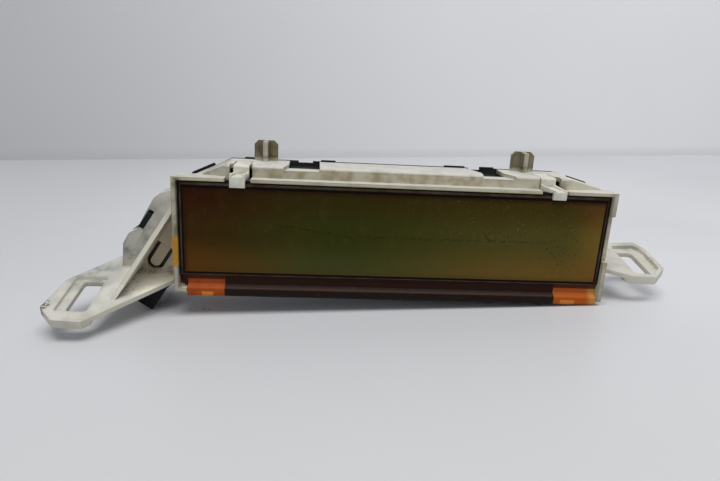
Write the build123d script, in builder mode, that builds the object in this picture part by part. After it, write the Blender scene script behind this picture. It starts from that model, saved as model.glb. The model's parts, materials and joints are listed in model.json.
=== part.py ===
"""Dashboard display module: a wide LCD in a moulded housing with two slotted mounting ears.

The origin is the centre of the display's front face. +X is to the viewer's right, +Y goes
away from the viewer to the rear of the module, and +Z is up. All sizes are in millimetres.
"""
from build123d import *
import os
from math import atan, cos, degrees, radians, sin

os.makedirs("parts", exist_ok=True)

# ---------------------------------------------------------------- driving dimensions
frame_width = 160.0  # outside of the picture frame round the glass
frame_height = 42.2
frame_top = 19.2
frame_bottom = frame_top - frame_height
frame_front = -1.2  # the frame's edge stands in front of the display face
frame_depth = 7.5
wall = 1.6
flange = 1.2  # the frame's top wall is thinner than its side walls
half_width = frame_width / 2
inner_half = half_width - wall
flange_underside = frame_top - flange

step_front = 2.8  # front face of the raised deck behind the flange
deck_top = 23.3
deck_left = -62.0  # the deck is flat between these, then a shoulder slopes down on each side
deck_right = 62.0
left_shoulder_low = 14.8  # height of each slope where it meets the side wall
right_shoulder_low = 18.3
floor_bottom = -21.5  # the body's bottom wall
floor_top = -20.0
floor_rear = 15.0  # the bottom wall stops short, and the flex circuit turns up behind it
rear_rim = 18.8  # the housing's rear edge, where the rear cover meets it

cover_rear = 30.0
cover_proud = 0.1  # the rear cover's top stands this much above the deck

glass_half = 77.5
glass_top = 17.2
front_glass_bottom = -16.6
rear_glass_bottom = -20.5  # the rear glass is taller, and its ledge carries the flex circuit
glass_thick = 1.1
film_half = 76.3
film_half_height = 15.4
film_thick = 0.2
film_gap_front = film_thick
front_glass_rear = film_gap_front + glass_thick
rear_glass_rear = front_glass_rear + glass_thick

board_front = 17.0  # the main board lies between the housing and the rear cover
board_thick = 1.6
board_rear = board_front + board_thick

ear_slope = degrees(atan(0.2))  # both mounting ears rise to the rear at this angle
left_arm_height = frame_bottom
right_arm_height = frame_bottom + 10.0
arm_thick = 1.8
left_ear_thick = 3.0
right_ear_thick = 3.3
ear_slot_width = 7.0  # clears M6 hardware

clip_root = 13.0  # the glass clips flex about this line
clip_thick = 1.4
clip_gap = 0.12

overlap = 0.5  # cutting tools run this far past the face that they leave by

# The clips: where each tongue lies in the deck, the wider opening it steps down in, and its lip.
clip_layout = {
    "left": {"tongue": (-59.2, -53.7), "channel": (-60.5, -52.6), "lip": (-60.1, -54.7)},
    "right": {"tongue": (51.8, 57.4), "channel": (51.4, 59.3), "lip": (55.5, 60.5)},
}
clip_slit = 0.3  # beside each tongue, behind the channel's open front
channel_depth = 3.4
clip_notches = ((-61.8, -52.8), (51.4, 61.3))  # the flange is cut away under each lip
deck_windows = ((-40.2, -29.0), (31.0, 39.6))
deck_window_front = 8.5  # each is open at the housing's rear edge
window_skews = (0.0, -3.6)  # how far the window's left side leans over towards the rear
ledge_drop = 1.2  # in front of each window the deck steps down to a ledge
ledge_outlines = [
    [(-41.7, step_front), (-40.2, deck_window_front), (-29.0, deck_window_front), (-29.0, step_front)],
    [(30.2, step_front), (31.0, deck_window_front), (39.6, 9.5), (42.6, step_front)],
]
post_centres = (-49.0, 49.0)

body_outline = [
    (-half_width, floor_bottom),
    (half_width, floor_bottom),
    (half_width, right_shoulder_low),
    (deck_right, deck_top),
    (deck_left, deck_top),
    (-half_width, left_shoulder_low),
]
# The wing is a shallow box on the left of the body, behind the left mounting arm.
wing_outline = [
    (-half_width, 11.8),
    (-84.4, 11.0),
    (-87.4, 9.9),
    (-90.1, 8.0),
    (-92.4, 4.0),
    (-96.9, -4.3),
    (-100.0, -6.0),
    (-102.2, -10.0),
    (-103.0, -20.5),
    (-half_width, -20.5),
]
wing_front = 14.3
wing_notch = [(-91.9, 3.6), (-96.4, -3.4), (-94.6, -4.3), (-90.1, 2.7)]
wing_tab = [(-92.2, 3.0), (-96.1, -3.1), (-94.6, -3.9), (-90.7, 2.2)]


def front_view(depth):
    """A sketch plane seen from the front, x right and z up; a negative extrusion goes rearward."""
    return Plane.XZ.offset(-depth)


def side_view(x):
    """A sketch plane seen from the right, y to the rear and z up; extrusions go to +X."""
    return Plane.YZ.offset(x)


def ear_plane(height):
    """The tilted top face of a mounting arm that is at this height at the frame's front edge."""
    tilt = radians(ear_slope)
    return Plane(
        origin=(0, frame_front, height),
        x_dir=(1, 0, 0),
        z_dir=(0, -sin(tilt), cos(tilt)),
    )


def shoulder_height(x):
    """Height of the sloping shoulder's outer face at this x, which is left or right of the deck."""
    if x < 0:
        return deck_top - (deck_top - left_shoulder_low) * (deck_left - x) / (deck_left + half_width)
    return deck_top - (deck_top - right_shoulder_low) * (x - deck_right) / (half_width - deck_right)


def save(piece, name):
    piece.label = name
    export_step(piece, f"parts/{name}.step")


# ---------------------------------------------------------------- left latch tongue
# A cantilever cut free in the wing's front wall by a U-shaped slot that leans like the web.
tongue_lean = 58.0
tongue_bottom = (-90.3, -16.6)  # centre of the U's round end
tongue_length = 7.5
slot_radius = 2.7  # to the middle of the slot
slot_stroke = 1.4
wing_wall = 1.6
wing_wall_rear = wing_front + wing_wall
tongue_plane = Plane(
    origin=(tongue_bottom[0], wing_front, tongue_bottom[1]),
    x_dir=(cos(radians(tongue_lean)), 0, sin(radians(tongue_lean))),
    z_dir=(0, -1, 0),
)
tongue_half = slot_radius - slot_stroke / 2
slot_half = slot_radius + slot_stroke / 2

with BuildPart() as latch_tongue:
    with BuildSketch(tongue_plane):
        Circle(tongue_half)
        with Locations((tongue_length / 2, 0)):
            Rectangle(tongue_length - 2 * clip_gap, 2 * tongue_half)
    extrude(amount=-wing_wall)
    # the catch on its rear face
    catch_height = 0.8
    with BuildSketch(tongue_plane.offset(-wing_wall)):
        with Locations((0.3, 0)):
            Rectangle(1.8, 2 * tongue_half - 0.8)
    extrude(amount=-catch_height)

# ---------------------------------------------------------------- mounting arms
left_arm_outline = [
    (-115.8, -19.0),
    (-106.0, -19.7),
    (-83.3, 7.1),
    (-half_width, 11.0),
    (-half_width, 17.4),
    (-103.5, 17.4),
    (-103.5, 25.3),
    (-105.5, 25.7),
    (-120.2, 5.9),
    (-122.1, -11.6),
]
left_ear_centre = (-110.5, -2.5)
left_slot_length = 19.0
with BuildPart() as left_arm:
    with BuildSketch(ear_plane(left_arm_height)):
        with BuildLine():
            Polyline(*left_arm_outline, close=True)
        make_face()
    extrude(amount=-arm_thick)
    # the ear itself is thicker than the arm
    with BuildSketch(ear_plane(left_arm_height).offset(-arm_thick)):
        with BuildLine():
            Polyline(
                (-115.8, -19.0),
                (-106.0, -19.7),
                (-104.0, -17.3),
                (-103.4, 10.0),
                (-108.0, 19.0),
                (-110.4, 19.1),
                (-120.2, 5.9),
                (-122.1, -11.6),
                close=True,
            )
        make_face()
    extrude(amount=-(left_ear_thick - arm_thick))
    # shallow seat round the slot, then the slot
    with BuildSketch(ear_plane(left_arm_height)):
        with Locations((left_ear_centre[0] - 1.0, left_ear_centre[1])):
            RectangleRounded(ear_slot_width + 4.4, left_slot_length + 3.6, 1.6)
    extrude(amount=-1.2, mode=Mode.SUBTRACT)
    with BuildSketch(ear_plane(left_arm_height)):
        with Locations(left_ear_centre):
            RectangleRounded(ear_slot_width, left_slot_length, 1.2)
    extrude(amount=-2 * left_ear_thick, mode=Mode.SUBTRACT)

right_arm_outline = [
    (inner_half + 0.2, 8.2),
    (84.2, 6.5),
    (92.0, 1.6),
    (101.5, 1.4),
    (108.0, 8.3),
    (108.5, 24.5),
    (105.8, 30.4),
    (94.3, 29.0),
    (85.0, 19.6),
    (inner_half + 0.2, 19.6),
]
right_slot_centre = (98.5, 14.0)
right_slot_length = 18.4
with BuildPart() as right_arm:
    with BuildSketch(ear_plane(right_arm_height)):
        with BuildLine():
            Polyline(*right_arm_outline, close=True)
        make_face()
    extrude(amount=-arm_thick)
    with BuildSketch(ear_plane(right_arm_height).offset(-arm_thick)):
        with BuildLine():
            Polyline(
                (90.0, 2.9),
                (92.0, 1.6),
                (101.5, 1.4),
                (108.0, 8.3),
                (108.5, 24.5),
                (105.8, 30.4),
                (94.3, 29.0),
                (90.0, 25.0),
                close=True,
            )
        make_face()
    extrude(amount=-(right_ear_thick - arm_thick))
    # the rim stands above a floor that is widest on the outer side of the slot
    with BuildSketch(ear_plane(right_arm_height)):
        with BuildLine():
            Polyline(
                (94.0, 4.2),
                (101.0, 3.4),
                (106.2, 9.0),
                (106.6, 23.8),
                (104.4, 27.6),
                (94.9, 26.4),
                (94.0, 24.5),
                close=True,
            )
        make_face()
    extrude(amount=-1.5, mode=Mode.SUBTRACT)
    with BuildSketch(ear_plane(right_arm_height)):
        with Locations(right_slot_centre):
            RectangleRounded(ear_slot_width, right_slot_length, 1.6)
    extrude(amount=-2 * right_ear_thick, mode=Mode.SUBTRACT)

# The web is the leaning wall from the frame's left side down to the left arm's floor.
web_top = (-79.0, 9.9)
web_foot = (-102.0, -27.6)
web_lean = degrees(atan((web_top[1] - web_foot[1]) / (web_top[0] - web_foot[0])))
web_length = 44.0
web_plane = Plane(
    origin=(web_top[0], 0, web_top[1]),
    x_dir=(-cos(radians(web_lean)), 0, -sin(radians(web_lean))),
    z_dir=(sin(radians(web_lean)), 0, -cos(radians(web_lean))),
)
with BuildPart() as web:
    with BuildSketch(web_plane):
        with BuildLine():
            Polyline(
                (0, 3.3),
                (web_length, -8.6),
                (web_length, wing_front + 1.0),
                (0, wing_front + 1.0),
                close=True,
            )
        make_face()
    extrude(amount=wall / 2, both=True)
    # it stops inside the arm's floor and inside the frame's side wall
    with BuildSketch(ear_plane(left_arm_height).offset(-arm_thick / 2)):
        with Locations((-95.0, 0)):
            Rectangle(80, 80)
    extrude(amount=-40, mode=Mode.SUBTRACT)
    with BuildSketch(side_view(-half_width + wall / 2)):
        Rectangle(80, 80)
    extrude(amount=20, mode=Mode.SUBTRACT)

# ---------------------------------------------------------------- front housing
screw_places = [(-74.9, -10.0), (74.9, -10.0), (-74.9, 5.0), (74.9, 5.0)]
boss_radius = 3.5
boss_front = 9.4
screw_radius = 1.25
light_box_rear = 9.0

with BuildPart() as front_housing:
    # picture frame and the deeper body behind it
    with BuildSketch(front_view(frame_front)):
        with Locations((0, frame_top - frame_height / 2)):
            Rectangle(frame_width, frame_height)
    extrude(amount=-frame_depth)
    with BuildSketch(front_view(step_front)):
        with BuildLine():
            Polyline(*body_outline, close=True)
        make_face()
    extrude(amount=-(rear_rim - step_front))

    # the shoulders' front faces fall back from the deck's front face
    frame_rear = frame_front + frame_depth
    with BuildSketch(Plane.XY.offset(frame_top)):
        for deck_end, outer_end in ((deck_left, -73.5), (deck_right, 74.0)):
            beyond_wall = outer_end * (half_width + overlap) / abs(outer_end)
            with BuildLine():
                Polyline(
                    (deck_end, step_front - overlap),
                    (deck_end, step_front),
                    (outer_end, frame_rear),
                    (beyond_wall, frame_rear),
                    (beyond_wall, step_front - overlap),
                    close=True,
                )
            make_face()
    extrude(amount=2 * (deck_top - frame_top), mode=Mode.SUBTRACT)
    deck_front_edge = (
        front_housing.edges().filter_by(Axis.X).group_by(Axis.Z)[-1].sort_by(Axis.Y)[0]
    )
    fillet(deck_front_edge, radius=1.0)

    # room for the glass, then for everything behind it
    glass_room = step_front - frame_front
    with BuildSketch(front_view(frame_front)):
        with Locations((0, (flange_underside + frame_bottom + wall) / 2)):
            Rectangle(2 * inner_half, flange_underside - frame_bottom - wall)
    extrude(amount=-glass_room, mode=Mode.SUBTRACT)
    with BuildSketch(front_view(step_front)):
        with Locations((0, (flange_underside + floor_top) / 2)):
            Rectangle(2 * inner_half, flange_underside - floor_top)
    extrude(amount=-(wall + overlap), mode=Mode.SUBTRACT)
    room_outline = [
        (-inner_half, floor_top),
        (inner_half, floor_top),
        (inner_half, shoulder_height(inner_half) - wall),
        (deck_right - 0.3, deck_top - wall),
        (deck_left + 0.3, deck_top - wall),
        (-inner_half, shoulder_height(-inner_half) - wall - 0.2),
    ]
    shoulder_room_front = 8.4  # the shoulders' front faces lean back, so they are hollow from here only
    shoulder_block = 20.0
    with BuildSketch(front_view(step_front + wall)):
        with BuildLine():
            Polyline(*room_outline, close=True)
        make_face()
        for side_x in (deck_left - shoulder_block / 2, deck_right + shoulder_block / 2):
            with Locations((side_x, flange_underside + shoulder_block / 2)):
                Rectangle(shoulder_block, shoulder_block, mode=Mode.SUBTRACT)
    extrude(amount=-(shoulder_room_front - step_front), mode=Mode.SUBTRACT)
    with BuildSketch(front_view(shoulder_room_front)):
        with BuildLine():
            Polyline(*room_outline, close=True)
        make_face()
    extrude(amount=-(rear_rim - shoulder_room_front + overlap), mode=Mode.SUBTRACT)

    # the frame is open below the glass, except for the foot at its left corner
    foot_width = 4.4
    opening_left = -half_width + foot_width
    with BuildSketch(front_view(frame_front - overlap)):
        with Locations(((opening_left + inner_half) / 2, (frame_bottom + floor_bottom) / 2)):
            Rectangle(inner_half - opening_left, floor_bottom - frame_bottom + 0.2)
    extrude(amount=-(frame_depth + 2 * overlap), mode=Mode.SUBTRACT)
    with BuildSketch(front_view(floor_rear)):
        with Locations((0, floor_bottom)):
            Rectangle(2 * inner_half, 2 * (floor_top - floor_bottom) + 0.4)
    extrude(amount=-(rear_rim - floor_rear + overlap), mode=Mode.SUBTRACT)

    # pads under the glass at the two lower corners
    pad_width = 2.0
    pad_height = 1.9
    with BuildSketch(front_view(front_glass_rear)):
        for side in (-1, 1):
            with Locations((side * (inner_half + 0.3 - pad_width / 2), rear_glass_bottom - pad_height / 2)):
                Rectangle(pad_width, pad_height)
    extrude(amount=-(step_front - front_glass_rear + wall))

    # windows in the deck, which the rear cover's latches lie in, and the ledge before each one
    block_height = 2.8
    block_side = 3.0  # it runs this far past each end of the window
    block_front = step_front + 1.0
    with BuildSketch(Plane.XY.offset(deck_top - 0.2 - block_height)):
        for low, high in deck_windows:
            with Locations(((low + high) / 2, (block_front + deck_window_front) / 2)):
                Rectangle(high - low + 2 * block_side, deck_window_front - block_front)
    extrude(amount=block_height)
    with BuildSketch(Plane.XY.offset(deck_top - ledge_drop)):
        for outline in ledge_outlines:
            with BuildLine():
                Polyline(*outline, close=True)
            make_face()
    extrude(amount=2 * ledge_drop, mode=Mode.SUBTRACT)
    with BuildSketch(Plane.XY.offset(deck_top - wall - 0.1)):
        for (low, high), skew in zip(deck_windows, window_skews):
            with BuildLine():
                Polyline(
                    (low, deck_window_front),
                    (high, deck_window_front),
                    (high, rear_rim + overlap),
                    (low + skew, rear_rim + overlap),
                    close=True,
                )
            make_face()
    extrude(amount=2 * wall, mode=Mode.SUBTRACT)

    # channels that cut the glass clips free, and the notches in the flange below their lips
    channel_rear = clip_root + clip_gap
    with BuildSketch(Plane.XY.offset(flange_underside - overlap)):
        for clip in clip_layout.values():
            low, high = clip["channel"]
            with Locations(((low + high) / 2, step_front + channel_depth / 2)):
                Rectangle(high - low, channel_depth)
            low, high = clip["tongue"]
            with Locations(((low + high) / 2, (step_front + channel_rear) / 2)):
                Rectangle(high - low + 2 * clip_slit, channel_rear - step_front)
        for low, high in clip_notches:
            with Locations(((low + high) / 2, (frame_front + step_front) / 2)):
                Rectangle(high - low, step_front - frame_front)
    extrude(amount=deck_top, mode=Mode.SUBTRACT)

    # the right wall's front edge is set back over its middle
    with BuildSketch(front_view(frame_front)):
        with Locations((half_width, 1.65)):
            Rectangle(2 * wall + 0.2, 17.7)
    extrude(amount=-2.0, mode=Mode.SUBTRACT)

    # locating posts: a plate across the module with a rib in front of it
    post_top = 30.7
    post_width = 8.6
    post_plate = 2.0
    with BuildSketch(front_view(rear_rim - post_plate)) as post_plates:
        for x in post_centres:
            with Locations((x, (post_top + deck_top - wall) / 2)):
                Rectangle(post_width, post_top - deck_top + wall)
        chamfer(post_plates.vertices().group_by(Axis.Z)[-1], length=1.4)
    extrude(amount=-post_plate)
    with BuildSketch(front_view(rear_rim - post_plate - 3.5)):
        for x in post_centres:
            with Locations((x, (post_top + deck_top - wall) / 2 - 0.1)):
                Rectangle(2.2, post_top - deck_top + wall - 0.2)
    extrude(amount=-4.0)

    # bosses that the main board is screwed to
    with BuildSketch(front_view(boss_front)):
        for x, z in screw_places:
            with Locations((x, z)):
                Circle(boss_radius)
            with Locations((x * (inner_half - 1.0) / abs(x), z)):
                Rectangle(3.0, boss_radius)
    extrude(amount=-(board_front - boss_front))
    with BuildSketch(front_view(board_front)):
        with Locations(*screw_places):
            Circle(screw_radius)
    extrude(amount=6.0, mode=Mode.SUBTRACT)

    # wing box, arms and web
    with BuildSketch(front_view(wing_front)):
        with BuildLine():
            Polyline(*wing_outline, close=True)
        make_face()
    extrude(amount=-(rear_rim - wing_front))
    with BuildSketch(front_view(wing_wall_rear)):
        with BuildLine():
            Polyline(
                (-half_width + wall + overlap, 10.2),
                (-84.0, 9.5),
                (-86.7, 8.5),
                (-89.0, 6.9),
                (-91.0, 3.3),
                (-95.8, -5.5),
                (-98.9, -7.2),
                (-100.8, -10.7),
                (-101.6, -21.0),
                (-half_width + wall + overlap, -21.0),
                close=True,
            )
        make_face()
    extrude(amount=-(rear_rim - wing_wall_rear), mode=Mode.SUBTRACT)
    with BuildSketch(front_view(wing_front)):
        with BuildLine():
            Polyline(*wing_notch, close=True)
        make_face()
    extrude(amount=-(rear_rim - wing_front), mode=Mode.SUBTRACT)
    # the U-shaped slot of the latch tongue
    with BuildSketch(tongue_plane):
        Circle(slot_half)
        with Locations((tongue_length / 2, 0)):
            Rectangle(tongue_length, 2 * slot_half)
    extrude(amount=-wing_wall, mode=Mode.SUBTRACT)
    add(left_arm.part)
    add(right_arm.part)
    add(web.part)

# ---------------------------------------------------------------- glass clips
lip_rear = -0.1
lip_thick = 1.4
lip_bottom = 16.0
arm_low = 18.4
arm_high = 19.9
rib_top = 20.9
rib_width = 0.9
arm_fall = {"left": 0.0, "right": 0.9}  # how far the arm's top comes down towards its lip
rib_fall = {"left": 0.0, "right": 1.4}
clips = {}
for side, clip in clip_layout.items():
    tongue_low, tongue_high = clip["tongue"]
    lip_low, lip_high = clip["lip"]
    lip_middle = (lip_low + lip_high) / 2
    with BuildPart() as glass_clip:
        # the tongue lies in the deck and turns down over the step
        with BuildSketch(side_view(tongue_low)):
            with BuildLine():
                Polyline(
                    (clip_root, deck_top - clip_thick),
                    (clip_root, deck_top),
                    (step_front, deck_top),
                    (step_front, arm_low),
                    (step_front + clip_thick, arm_low),
                    (step_front + clip_thick, deck_top - clip_thick),
                    close=True,
                )
            make_face()
        extrude(amount=tongue_high - tongue_low)
        top_front_edge = glass_clip.edges().filter_by(Axis.X).group_by(Axis.Z)[-1].sort_by(Axis.Y)[0]
        fillet(top_front_edge, radius=0.9)
        # the lip hangs over the edge of the glass
        lip_front = lip_rear - lip_thick
        lip_top = arm_high - arm_fall[side]
        with BuildSketch(front_view(lip_front)):
            with Locations((lip_middle, (lip_top + lip_bottom) / 2)):
                Rectangle(lip_high - lip_low, lip_top - lip_bottom)
        extrude(amount=-lip_thick)
    # an arm with a rib along each side runs forward from the foot of the step to the lip
    foot_rear = step_front + clip_thick
    rib_end = rib_top - rib_fall[side]
    strips = [
        # its two sides at the foot, its two sides at the lip, its top at the foot and at the lip
        (tongue_low, tongue_high, lip_low, lip_high, arm_high, lip_top),
        (tongue_low, tongue_low + rib_width, lip_low, lip_low + rib_width, rib_top, rib_end),
        (tongue_high - rib_width, tongue_high, lip_high - rib_width, lip_high, rib_top, rib_end),
    ]
    for foot_low, foot_high, end_low, end_high, foot_top, end_top in strips:
        with BuildPart() as strip:
            with BuildSketch(Plane.XY.offset(arm_low)):
                with BuildLine():
                    Polyline(
                        (foot_low, foot_rear),
                        (foot_high, foot_rear),
                        (foot_high, step_front),
                        (end_high, lip_rear),
                        (end_high, lip_front),
                        (end_low, lip_front),
                        (end_low, lip_rear),
                        (foot_low, step_front),
                        close=True,
                    )
                make_face()
            extrude(amount=rib_top - arm_low)
            with BuildSketch(side_view(min(foot_low, end_low) - overlap)):
                with BuildLine():
                    Polyline(
                        (foot_rear, arm_low),
                        (foot_rear, foot_top),
                        (step_front, foot_top),
                        (lip_rear, end_top),
                        (lip_front, end_top),
                        (lip_front, arm_low),
                        close=True,
                    )
                make_face()
            reach = max(foot_high, end_high) - min(foot_low, end_low) + 2 * overlap
            extrude(amount=reach, mode=Mode.INTERSECT)
        glass_clip.part += strip.part
    clips[side] = glass_clip.part

# ---------------------------------------------------------------- display glass and films
glass_heights = {"front_glass": front_glass_bottom, "rear_glass": rear_glass_bottom}
glass_fronts = {"front_glass": film_gap_front, "rear_glass": front_glass_rear}
glass_parts = {}
for name, bottom in glass_heights.items():
    with BuildPart() as pane:
        with BuildSketch(front_view(glass_fronts[name])):
            with Locations((0, (glass_top + bottom) / 2)):
                Rectangle(2 * glass_half, glass_top - bottom)
        extrude(amount=-glass_thick)
    glass_parts[name] = pane.part

film_fronts = {"front_polariser": 0.0, "rear_polariser": rear_glass_rear}
film_parts = {}
for name, front in film_fronts.items():
    with BuildPart() as film:
        with BuildSketch(front_view(front)):
            Rectangle(2 * film_half, 2 * film_half_height)
        extrude(amount=-film_thick)
    film_parts[name] = film.part

# dark seal round the top and the two sides of the glass
seal_width = 0.7
seal_half = glass_half + 0.1
seal_top = glass_top + 0.05
with BuildPart() as glass_seal:
    with BuildSketch(front_view(0.3)):
        with Locations((0, (seal_top + seal_width + front_glass_bottom) / 2)):
            Rectangle(2 * (seal_half + seal_width), seal_top + seal_width - front_glass_bottom)
        with Locations((0, (seal_top + front_glass_bottom - overlap) / 2)):
            Rectangle(2 * seal_half, seal_top - front_glass_bottom + overlap, mode=Mode.SUBTRACT)
    extrude(amount=-(rear_glass_rear - 0.4))

# ---------------------------------------------------------------- backlight
diffuser_front = rear_glass_rear + film_thick
diffuser_thick = 0.3
filter_front = diffuser_front + diffuser_thick
filter_thick = 0.2
light_box_front = filter_front + filter_thick
light_box_half = 77.6
light_box_top = 17.4
light_box_bottom = -19.6
light_box_wall = 1.2
light_box_corner = (70.0, 13.4)  # its upper corners are cut to lie under the shoulders
light_box_room_top = 15.2
guide_half = 76.2
guide_top = 15.0
guide_bottom = -18.2
guide_front = light_box_front + 0.2
guide_thick = 4.0
reflector_thick = 0.25

sheet_layers = {
    "diffuser_sheet": (diffuser_front, diffuser_thick, 76.8, 15.6, -19.2),
    "amber_filter": (filter_front, filter_thick, 76.8, 15.6, -19.2),
    "light_guide": (guide_front, guide_thick, guide_half, guide_top, guide_bottom),
    "reflector_sheet": (guide_front + guide_thick, reflector_thick, guide_half, guide_top, guide_bottom),
}
sheet_parts = {}
for name, (front, thick, half, top, bottom) in sheet_layers.items():
    with BuildPart() as sheet:
        with BuildSketch(front_view(front)):
            with Locations((0, (top + bottom) / 2)):
                Rectangle(2 * half, top - bottom)
        extrude(amount=-thick)
    sheet_parts[name] = sheet.part

led_count = 8
led_pitch = 12.5
led_first = -led_pitch * (led_count - 1) / 2
led_places = [(led_first + led_pitch * number, 5.8) for number in range(led_count)]
led_size = (3.0, 2.0, 1.4)
light_board_low = 18.9
light_board_thick = 1.0

with BuildPart() as light_box:
    with BuildSketch(front_view(light_box_front)):
        with BuildLine():
            Polyline(
                (-light_box_half, light_box_bottom),
                (light_box_half, light_box_bottom),
                (light_box_half, light_box_corner[1]),
                (light_box_corner[0], light_box_top),
                (-light_box_corner[0], light_box_top),
                (-light_box_half, light_box_corner[1]),
                close=True,
            )
        make_face()
    extrude(amount=-(light_box_rear - light_box_front))
    with BuildSketch(front_view(light_box_front)):
        with Locations((0, (light_box_room_top + light_box_bottom + light_box_wall) / 2)):
            Rectangle(
                2 * (light_box_half - light_box_wall),
                light_box_room_top - light_box_bottom - light_box_wall,
            )
    extrude(amount=-(light_box_rear - light_box_front - light_box_wall), mode=Mode.SUBTRACT)
    # a hole in the top wall for each light
    with BuildSketch(Plane.XY.offset(light_box_top)):
        with Locations(*led_places):
            Rectangle(led_size[0] + 0.6, led_size[1] + 0.4)
    extrude(amount=-(light_box_top - light_box_room_top + overlap), mode=Mode.SUBTRACT)

with BuildPart() as light_board:
    with BuildSketch(Plane.XY.offset(light_board_low)):
        with Locations((0, 9.3)):
            Rectangle(101.0, 9.0)
    extrude(amount=light_board_thick)

with BuildPart() as light_board_leds:
    with BuildSketch(Plane.XY.offset(light_board_low)):
        with Locations(*led_places):
            Rectangle(led_size[0], led_size[1])
    extrude(amount=-led_size[2])

# ---------------------------------------------------------------- main board
board_outline = [
    (-78.0, -19.8),
    (-82.5, -21.0),
    (-87.0, -26.0),
    (-90.9, -30.4),
    (-96.0, -26.4),
    (-101.0, -20.0),
    (-100.2, -11.0),
    (-97.6, -8.0),
    (-94.6, -5.2),
    (-90.0, 3.0),
    (-88.0, 6.4),
    (-84.0, 8.6),
    (-78.0, 9.4),
    (-78.0, 10.5),
    (-66.0, 16.6),
    (-59.0, 19.8),
    (59.0, 19.8),
    (66.0, 16.6),
    (78.0, 12.5),
    (78.0, -19.8),
]
link_pin = 0.64
link_pitch = 2.54
link_places = [(link_pitch * (number - 1.5), light_board_low - link_pin / 2) for number in range(4)]

# Harness socket: a keyed shell under the left arm that leans like the web and opens
# downward and to the left. Its corner nearest the viewer is the module's lowest point.
socket_corner = (-90.5, -33.7)
socket_lean = 57.0
socket_width = 7.5
socket_height = 11.5
socket_front = 6.8
socket_wall = 1.1
socket_depth = 5.5
socket_plane = Plane(
    origin=(socket_corner[0], socket_front, socket_corner[1]),
    x_dir=(cos(radians(socket_lean)), 0, sin(radians(socket_lean))),
    z_dir=(0, -1, 0),
)
contact_size = 0.6
contact_columns = (2.0, 3.75, 5.5)
contact_rows = ((2.8, 7.4), (6.6, 6.2))  # each row's depth in the shell, and where it turns rearward
contact_tip = 1.4
contact_end = board_rear + 0.8 - socket_front

with BuildPart() as connector_pins:
    for row_depth, turn in contact_rows:
        with BuildSketch(socket_plane.offset(-row_depth)):
            for column in contact_columns:
                with Locations(((turn + contact_tip) / 2, column)):
                    Rectangle(turn - contact_tip + contact_size, contact_size)
        extrude(amount=-contact_size)
        with BuildSketch(socket_plane.offset(-row_depth)):
            for column in contact_columns:
                with Locations((turn, column)):
                    Rectangle(contact_size, contact_size)
        extrude(amount=-(contact_end - row_depth))

with BuildPart() as light_board_pins:
    with BuildSketch(front_view(11.6)):
        with Locations(*link_places):
            Rectangle(link_pin, link_pin)
    extrude(amount=-(board_rear + 0.1 - 11.6))

with BuildPart() as main_board:
    with BuildSketch(front_view(board_front)):
        with BuildLine():
            Polyline(*board_outline, close=True)
        make_face()
        with Locations(*screw_places):
            Circle(screw_radius + 0.25, mode=Mode.SUBTRACT)
        with Locations(*link_places):
            Circle(0.5, mode=Mode.SUBTRACT)
    extrude(amount=-board_thick)
    # a plated hole for every contact of the harness socket
    with BuildSketch(socket_plane.offset(socket_front - board_front)):
        for row_depth, turn in contact_rows:
            for column in contact_columns:
                with Locations((turn, column)):
                    Circle(0.48)
    extrude(amount=-board_thick, mode=Mode.SUBTRACT)

with BuildPart() as connector_housing:
    shell_depth = board_front - socket_front
    flat_top = 9.65  # height of the flat top above the lowest corner
    lean = radians(socket_lean)
    with BuildSketch(front_view(socket_front)):
        with BuildLine():
            corner_x, corner_z = socket_corner
            left_x = corner_x - socket_width * sin(lean)
            left_z = corner_z + socket_width * cos(lean)
            left_rise = (corner_z + flat_top - left_z) / sin(lean)
            Polyline(
                (corner_x, corner_z),
                (corner_x + socket_height * cos(lean), corner_z + flat_top),
                (left_x + left_rise * cos(lean), corner_z + flat_top),
                (left_x, left_z),
                close=True,
            )
        make_face()
    extrude(amount=-shell_depth)
    with BuildSketch(socket_plane.offset(-socket_wall)):
        with Locations((socket_depth / 2 - overlap / 2, socket_width / 2)):
            Rectangle(socket_depth + overlap, socket_width - 2 * socket_wall)
    extrude(amount=-(shell_depth - 2 * socket_wall), mode=Mode.SUBTRACT)
    add(connector_pins.part, mode=Mode.SUBTRACT)

# ---------------------------------------------------------------- flex circuit and tape
flex_thick = 0.2
flex_face = front_glass_rear
flex_bottom = -24.5
flex_turn = 0.9
flex_bend = -20.4
flex_bulge = -0.6  # below the glass it stands forward, then turns to the rear
flex_end = -14.5
flex_low_x = -75.4
flex_high_x = 78.2
with BuildPart() as flex_circuit:
    with BuildSketch(side_view(flex_low_x)):
        with BuildLine():
            FilletPolyline(
                (flex_face, front_glass_bottom - 0.2),
                (flex_face, flex_bend),
                (flex_bulge, flex_bend - 1.2),
                (flex_bulge, flex_bottom),
                (board_front - flex_thick, flex_bottom),
                (board_front - flex_thick, flex_end),
                radius=flex_turn,
            )
            offset(amount=flex_thick, side=Side.RIGHT)
        make_face()
    extrude(amount=flex_high_x - flex_low_x)

tape_thick = 0.15
tape_low = -13.1
tape_high = -2.3
tape_outer_length = 9.0
with BuildPart() as insulating_tape:
    with BuildSketch(Plane.XY.offset(tape_low)):
        with BuildLine():
            Polyline(
                (-half_width - tape_thick, frame_front + tape_outer_length),
                (-half_width - tape_thick, frame_front - tape_thick),
                (-inner_half + tape_thick, frame_front - tape_thick),
                (-inner_half + tape_thick, 0.2),
                (-inner_half, 0.2),
                (-inner_half, frame_front),
                (-half_width, frame_front),
                (-half_width, frame_front + tape_outer_length),
                close=True,
            )
        make_face()
    extrude(amount=tape_high - tape_low)

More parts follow.
